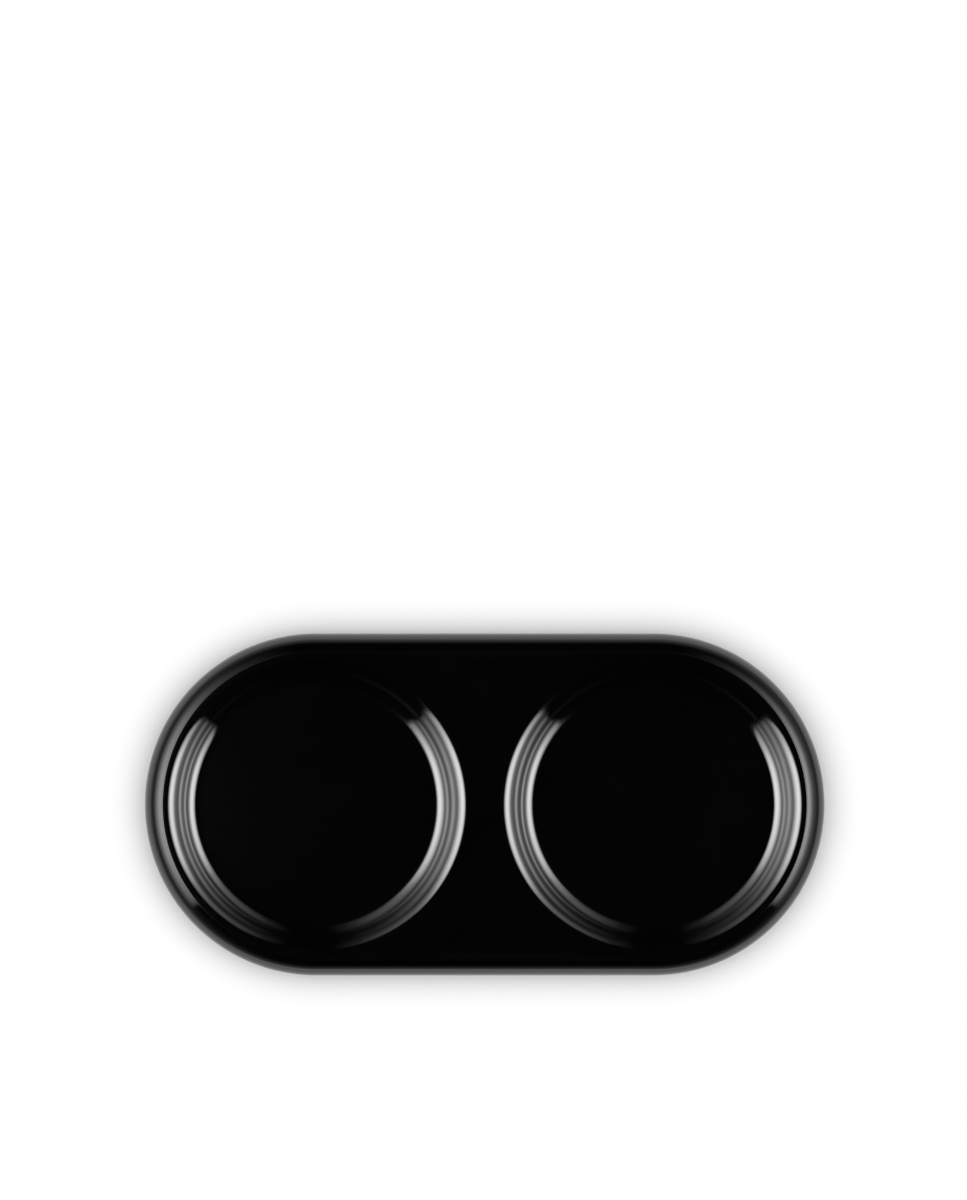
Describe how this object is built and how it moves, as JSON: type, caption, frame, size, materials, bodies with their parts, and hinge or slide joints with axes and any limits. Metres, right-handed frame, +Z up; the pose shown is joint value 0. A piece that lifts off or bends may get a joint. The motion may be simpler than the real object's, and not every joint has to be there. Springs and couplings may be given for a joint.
{
  "type": "pepper mill tray",
  "caption": "Low oval stoneware tray in gloss black glaze, with round shallow wells side by side that seat pepper mills and catch stray grounds, on a bare foot ring.",
  "frame": {"origin": "centre of the outline, on the table plane under the foot ring", "axes": "+X along the row of wells, +Y to the back, +Z up"},
  "size_m": [0.17, 0.0856, 0.0124],
  "materials": {
    "bare_stoneware": "matte",
    "black_glaze": "gloss"
  },
  "bodies": {
    "root": {"stoneware_body": "bare_stoneware", "upper_glaze": "black_glaze", "base_glaze": "black_glaze"}
  },
  "joints": []
}
